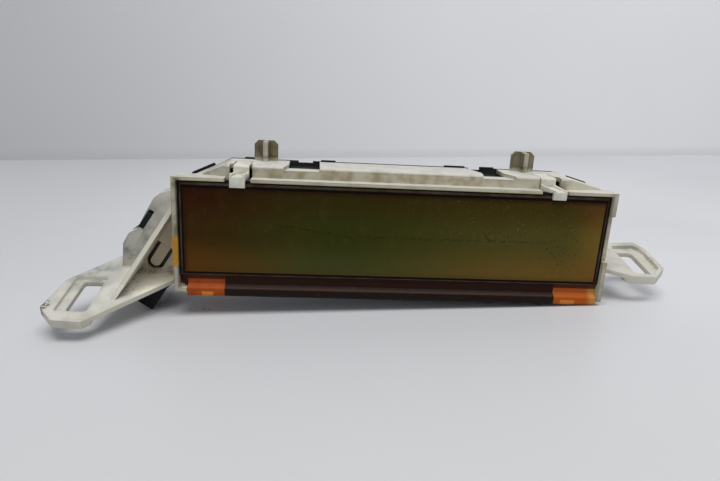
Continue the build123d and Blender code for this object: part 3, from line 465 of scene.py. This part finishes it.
def display_glass():
    """The glass panes: a black printed border round the film, brown outside it."""
    g = Graph("display_glass")
    colour = g.cloudy(GLASS_EDGE, 9, 3, 0.35, 0.65)
    reach = g.larger(g.unsigned(g.z), g.math("SUBTRACT", g.unsigned(g.x), BORDER_CORNER))
    colour = g.lay(colour, PRINTED_BORDER, g.step(reach, BORDER_REACH + 0.35, BORDER_REACH))
    below_front_pane = g.step(g.z, glass_low.z + 0.2, glass_low.z - 0.3)
    colour = g.lay(colour, g.cloudy(GLASS_LEDGE, 5, 4, 0.4, 0.6), below_front_pane)
    g.bump(g.noise(2.5), 0.03, 0.4)
    return g.finish(colour, g.uneven(0.15, 0.15, 3), IOR=1.5, Specular_IOR_Level=0.05)


AMBER = (0.33, 0.066, 0.010), (0.27, 0.048, 0.008)
AMBER_RIGHT = (0.36, 0.080, 0.010)
AMBER_TIP = (0.48, 0.24, 0.06)
COPPER = (0.017, 0.007, 0.003), (0.007, 0.0035, 0.002)
COPPER_PATCH = (0.010, 0.007, 0.006)
COPPER_GLINT = (0.045, 0.022, 0.011)
COPPER_BEND_HIGHLIGHT = (0.075, 0.035, 0.022)
ADHESIVE = (0.026, 0.0065, 0.003)
BARE_CONTACT = (0.60, 0.20, 0.035)


def flex_film():
    """Amber film with dark copper tracks over its middle; its two ends are bare."""
    g = Graph("flex_film")
    amber = g.cloudy(AMBER, 4)
    amber = g.mix(g.step(g.x, 40, 60), amber, AMBER_RIGHT)
    amber = g.lay(amber, AMBER_TIP, g.step(g.x, flex_high.x - 4.0, flex_high.x - 1.4), 0.8)
    # fine tracks that run down over the bend
    track_wave = g.node(
        "ShaderNodeTexWave",
        {"wave_type": "BANDS", "bands_direction": "X"},
        Vector=g.vector("MULTIPLY", g.place, (1, 0, 0)),
        Scale=0.62,
        Distortion=0.0,
    ).outputs["Fac"]
    tracks = g.step(track_wave, 0.35, 0.65)
    copper = g.mix(tracks, *COPPER)
    wide = g.vector("MULTIPLY", g.place, (1, 2, 2.6))
    copper = g.lay(copper, COPPER_PATCH, g.patches(11, 0.46, 0.52, 2, 0.4, wide), 0.85)
    # painted highlights: glints on the copper and a paler band along the bend
    copper = g.lay(copper, COPPER_GLINT, g.patches(2.2, 0.56, 0.74, 4, 0.7), 0.5)
    copper = g.lay(copper, COPPER_BEND_HIGHLIGHT, g.band(g.z, -21.6, -20.6, 0.3), 0.35)
    middle = g.band(g.x, -62.2, 61.6, 0.15)
    colour = g.mix(middle, amber, copper)
    # a strip of red-brown adhesive along the top, where the film is bonded to the ledge
    bond = g.larger(g.step(g.z, -18.7, -18.4), g.product(g.step(g.z, -20.2, -19.7), middle))
    colour = g.lay(colour, ADHESIVE, bond, 0.85)
    # bare contact windows near the bend
    window_x = g.larger(g.band(g.x, -70.4, -66.2, 0.1), g.band(g.x, 64.2, 69.8, 0.1))
    colour = g.lay(colour, BARE_CONTACT, g.product(g.band(g.z, -24.6, -22.7, 0.12), window_x), 0.85)
    g.bump(g.math("ADD", g.product(tracks, middle, 0.5), g.noise(7)), 0.08, 0.5)
    return g.finish(colour, g.uneven(0.28, 0.2, 3, 4), IOR=1.5, Specular_IOR_Level=0.1)


# ---------------------------------------------------------------- the smaller pieces' materials
def clip_plastic():
    """The clips' whiter, smoother plastic."""
    g = Graph("clip_plastic")
    colour = g.cloudy(((0.60, 0.59, 0.52), (0.51, 0.495, 0.41)), 3)
    crease_dirt_and_shade = (0.30, 0.25, 0.17)
    colour = g.lay(colour, crease_dirt_and_shade, g.product(g.crease(1.5), g.patches(1.2, 0.35, 0.65, 4)), 0.6)
    g.bump(g.noise(0.5), 0.03, 0.5)
    return g.finish(colour, g.uneven(0.36, 0.2, 2), IOR=1.46)


def seal_rubber():
    """Matt black rubber with brown dust on it."""
    g = Graph("seal_rubber")
    colour = g.cloudy(((0.006, 0.005, 0.004), (0.016, 0.011, 0.007)), 2, 4, 0.4)
    g.bump(g.noise(0.7), 0.06)
    return g.finish(colour, g.uneven(0.5, 0.3, 1.5), Specular_IOR_Level=0.08)


def amber_tape():
    """Yellow-brown tape, duller where its surface is frayed."""
    g = Graph("amber_tape")
    colour = g.cloudy(((0.44, 0.225, 0.020), (0.355, 0.17, 0.016)), 3.5, 3, 0.3)
    frayed = (0.24, 0.15, 0.05)
    colour = g.lay(colour, frayed, g.patches(0.8, 0.55, 0.75), 0.35)
    g.bump(g.noise(1.8), 0.08)
    return g.finish(colour, g.uneven(0.3, 0.2, 2), IOR=1.5, Specular_IOR_Level=0.3)


def black_plastic(name, base, worn, grain_size, rough_low):
    """Black moulding with a fine texture, dust, and edges painted paler as faint rubbing and painted
    highlight.
    """
    g = Graph(name)
    dust, edge_wear_and_highlight = (0.07, 0.068, 0.06), (0.045, 0.045, 0.048)
    colour = g.cloudy((base, worn), 5, 4, 0.4)
    colour = g.lay(colour, dust, g.patches(1.1, 0.6, 0.82, 5, 0.7), 0.16)
    colour = g.lay(colour, edge_wear_and_highlight, g.edge(0.5), 0.25)
    g.bump(g.noise(grain_size), 0.06)
    return g.finish(colour, g.uneven(rough_low, 0.25, 2.4, 4), IOR=1.5, Specular_IOR_Level=0.1)


def tinted(name, first, second, size, rough, metal=0.0):
    """A surface that wanders between two colours, for pieces that are mostly hidden, darkened in its creases
    as painted shade.
    """
    g = Graph(name)
    crease_dirt_and_shade = tuple(0.4 * c for c in second)
    colour = g.lay(g.cloudy((first, second), size, 4), crease_dirt_and_shade, g.crease(1.2), 0.4)
    g.bump(g.noise(0.8), 0.03)
    return g.finish(colour, g.uneven(rough, 0.15, 2), Metallic=metal)


def board_laminate():
    """Black solder mask with slightly paler tracks under it, made this dark to stand in for the shade seen
    through the housing's slots.
    """
    g = Graph("board_laminate")
    tracks = g.node(
        "ShaderNodeTexBrick",
        Vector=g.node("ShaderNodeCombineXYZ", X=g.x, Y=g.z).outputs["Vector"],
        Scale=0.28,
        Mortar_Size=0.03,
        Brick_Width=1.7,
        Row_Height=0.42,
    ).outputs["Fac"]
    colour = g.cloudy(((0.010, 0.012, 0.010), (0.015, 0.018, 0.015)), 12, 3, 0.4, 0.6)
    colour = g.lay(colour, (0.035, 0.042, 0.034), tracks, 0.5)
    g.bump(tracks, 0.04)
    return g.finish(colour, g.uneven(0.28, 0.12, 3))


materials = {
    "housing_plastic": housing_plastic(),
    "clip_plastic": clip_plastic(),
    "cover_plastic": black_plastic("cover_plastic", (0.003, 0.003, 0.0035), (0.007, 0.007, 0.007), 0.4, 0.42),
    "connector_plastic": black_plastic(
        "connector_plastic", (0.003, 0.003, 0.004), (0.006, 0.0065, 0.0075), 0.5, 0.36
    ),
    "polariser_film": polariser_film(),
    "display_glass": display_glass(),
    "seal_rubber": seal_rubber(),
    "amber_film": flex_film(),
    "amber_tape": amber_tape(),
    "diffuser_film": tinted("diffuser_film", (0.75, 0.75, 0.72), (0.66, 0.65, 0.6), 12, 0.5),
    "clear_plastic": tinted("clear_plastic", (0.6, 0.64, 0.64), (0.5, 0.54, 0.53), 15, 0.12),
    "reflector_film": tinted("reflector_film", (0.8, 0.8, 0.8), (0.7, 0.7, 0.69), 10, 0.3),
    "board_laminate": board_laminate(),
    "chip_plastic": tinted("chip_plastic", (0.018, 0.018, 0.02), (0.03, 0.03, 0.03), 4, 0.5),
    "led_plastic": tinted("led_plastic", (0.75, 0.68, 0.35), (0.65, 0.55, 0.25), 2, 0.25),
    "can_metal": tinted("can_metal", (0.62, 0.62, 0.63), (0.5, 0.5, 0.5), 3, 0.28, metal=1.0),
    "contact_metal": tinted("contact_metal", (0.72, 0.55, 0.26), (0.6, 0.42, 0.2), 2, 0.25, metal=1.0),
    "screw_steel": tinted("screw_steel", (0.5, 0.5, 0.5), (0.4, 0.39, 0.37), 2, 0.32, metal=1.0),
}

node_slots = {p["node"]: p["material_slot"] for p in frame["record"]["subparts"]}
for name, node in frame["nodes"].items():
    node.data.materials.clear()
    node.data.materials.append(materials[node_slots[name]])


# ---------------------------------------------------------------- softened mouldings
def soften(node_name, piece_name, body, width):
    """A copy of a CAD node with every sharp edge rounded over by width millimetres."""
    mesh = bmesh.new()
    mesh.from_mesh(frame["nodes"][node_name].data)
    bmesh.ops.remove_doubles(mesh, verts=mesh.verts, dist=0.002 * MM)
    bmesh.ops.dissolve_limit(
        mesh, angle_limit=radians(0.5), verts=mesh.verts, edges=mesh.edges, delimit=set()
    )
    data = bpy.data.meshes.new(piece_name)
    mesh.to_mesh(data)
    mesh.free()
    piece = bpy.data.objects.new(piece_name, data)
    bpy.context.scene.collection.objects.link(piece)
    data.materials.append(materials[node_slots[node_name]])
    for face in data.polygons:
        face.use_smooth = True
    bevel = piece.modifiers.new("round_over", "BEVEL")
    bevel.width = width * MM
    bevel.segments = 2
    bevel.limit_method = "ANGLE"
    bevel.angle_limit = radians(25)
    bevel.miter_outer = "MITER_ARC"
    bevel.harden_normals = True
    bevel.use_clamp_overlap = True
    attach(piece, body)
    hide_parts(node_name)


soften("front_housing", "moulded_housing", "module", 0.25)
soften("rear_cover", "cover_shell", "module", 0.25)
soften("connector_housing", "harness_socket_shell", "module", 0.25)
soften("glass_clip_left", "left_clip_moulding", "left_clip", 0.2)
soften("glass_clip_right", "right_clip_moulding", "right_clip", 0.2)
soften("latch_tongue", "latch_moulding", "latch", 0.2)


# ---------------------------------------------------------------- table and wall
TABLE_GAP = 0.1  # millimetres between the table and the flex circuit, which the module rests on
TABLE_RISE = 0.0533  # the module lies tipped to its left, so the table rises to the right
TABLE_BLUE = (0.585, 0.59, 0.615), (0.555, 0.56, 0.585)
TABLE_NEAR_PAINTED_SHADE = (0.52, 0.525, 0.53)
TABLE_LEFT_PAINTED_SHADE = (0.515, 0.522, 0.54)
TABLE_SPECK = (0.35, 0.36, 0.38)
CRUMB = (0.08, 0.075, 0.06)
WALL_PAINTED_LIGHT = (0.43, 0.435, 0.45), (0.69, 0.695, 0.72)
WALL_CLOUD = (0.52, 0.54, 0.56)
WALL_FOOT_PAINTED_SHADOW = (0.33, 0.34, 0.35)


def table_height(x):
    """The table's height in metres at this x, also in metres."""
    return (flex_low.z - TABLE_GAP) * MM + (x - flex_high.x * MM) * TABLE_RISE


def table_material():
    """Pale laminate, faintly cloudy, with a few specks and a patch of crumbs, and painted shade towards the
    front and the left.
    """
    g = Graph("pale_table")
    colour = g.cloudy(TABLE_BLUE, 160, 2, 0.35, 0.65)
    # painted shade: the table is darker towards the front and the left
    colour = g.lay(colour, TABLE_NEAR_PAINTED_SHADE, g.step(g.y, 10, -110), 0.8)
    colour = g.lay(colour, TABLE_LEFT_PAINTED_SHADE, g.step(g.x, -60, -220))
    colour = g.lay(colour, TABLE_SPECK, g.specks(26, 0.9, 0.16), 0.35)
    # the crumbs lie in front of the display's left end
    crumb_area = g.step(g.blob((-72, 6, -33), (13, 5, 6)), 0.1, 0.4)
    colour = g.lay(colour, CRUMB, g.product(g.specks(2.4, 0.9, 0.55), crumb_area), 0.8)
    g.bump(g.noise(1.5), 0.02, 0.3)
    return g.finish(colour, g.uneven(0.38, 0.1, 40), IOR=1.45)


def wall_material():
    """Matt grey paint, with painted light making it paler to the right and a painted shadow along its foot.
    """
    g = Graph("grey_wall")
    colour = g.mix(g.step(g.x, -420, 380), *WALL_PAINTED_LIGHT)
    colour = g.lay(colour, WALL_CLOUD, g.patches(220, 0.3, 0.7), 0.12)
    above_table = g.math("SUBTRACT", g.z, g.product(g.x, TABLE_RISE))
    colour = g.lay(colour, WALL_FOOT_PAINTED_SHADOW, g.step(above_table, -17, -27), 0.25)
    g.bump(g.noise(3), 0.03, 0.3)
    return g.finish(colour, g.uneven(0.6, 0.1, 30))


def sweep_sheet(name, profile, left, right, material):
    """A sheet that carries a profile of (rearward, upward) points from its left end to its right."""
    mesh = bmesh.new()
    rows = []
    for end in (left, right):
        rows.append([mesh.verts.new((end.x, end.y + back, end.z + up)) for back, up in profile])
    for number in range(len(profile) - 1):
        mesh.faces.new((rows[0][number], rows[1][number], rows[1][number + 1], rows[0][number + 1]))
    data = bpy.data.meshes.new(name)
    mesh.to_mesh(data)
    mesh.free()
    for face in data.polygons:
        face.use_smooth = True
    data.materials.append(material)
    sheet = bpy.data.objects.new(name, data)
    bpy.context.scene.collection.objects.link(sheet)


SHEET_REACH = 2.3  # how far the table and the wall run to either side
TABLE_DEPTH = 3.0
WALL_HEIGHT = 2.4
WALL_FOOT_BEVEL = 0.0005
# the wall's foot lies along a line a little oblique to the row frame
wall_left = Vector((-SHEET_REACH, 0.455, table_height(-SHEET_REACH)))
wall_right = Vector((SHEET_REACH, 0.350, table_height(SHEET_REACH)))
table_profile = [(-TABLE_DEPTH, 0.0), (0.0, 0.0)]
wall_profile = [(-WALL_FOOT_BEVEL, 0.0), (0.0, WALL_FOOT_BEVEL), (0.0, WALL_HEIGHT)]
sweep_sheet("table", table_profile, wall_left, wall_right, table_material())
sweep_sheet("wall", wall_profile, wall_left, wall_right, wall_material())


# ---------------------------------------------------------------- light
def area_light(name, place, size, power, colour):
    """A soft rectangular lamp at a place in metres, aimed at the origin."""
    lamp = bpy.data.lights.new(name, "AREA")
    lamp.shape = "RECTANGLE"
    lamp.size = size[0]
    lamp.size_y = size[1]
    lamp.energy = power
    lamp.color = colour
    holder = bpy.data.objects.new(name, lamp)
    holder.location = place
    holder.rotation_euler = (-Vector(place)).to_track_quat("-Z", "Y").to_euler()
    bpy.context.scene.collection.objects.link(holder)


area_light("ceiling_panel", (0.0, -0.33, 1.2), (1.2, 0.7), 15.3, (1.0, 0.99, 0.97))
area_light("front_fill", (-0.5, -1.4, 0.7), (1.4, 1.0), 2.3, (0.97, 0.98, 1.0))

world = bpy.data.worlds.new("soft_room")
world.use_nodes = True
background = world.node_tree.nodes["Background"]
background.inputs["Color"].default_value = (0.86, 0.9, 0.96, 1)
background.inputs["Strength"].default_value = 0.32
bpy.context.scene.world = world
bpy.context.scene.view_settings.view_transform = "Standard"

# ---------------------------------------------------------------- camera
lens = bpy.data.cameras.new("camera")
lens.lens = 29.0
lens.sensor_width = 36.0
lens.clip_start = 0.01
camera = bpy.data.objects.new("camera", lens)
look_right = Vector((0.99641, -0.06642, 0.05247))
look_up = Vector((-0.03189, 0.27960, 0.95960))
look_forward = Vector((0.07841, 0.95782, -0.27648))
turn = Matrix((look_right, look_up, -look_forward)).transposed()
camera.matrix_world = Matrix.Translation((-0.0301, -0.2017, 0.0564)) @ turn.to_4x4()
bpy.context.scene.collection.objects.link(camera)
bpy.context.scene.camera = camera
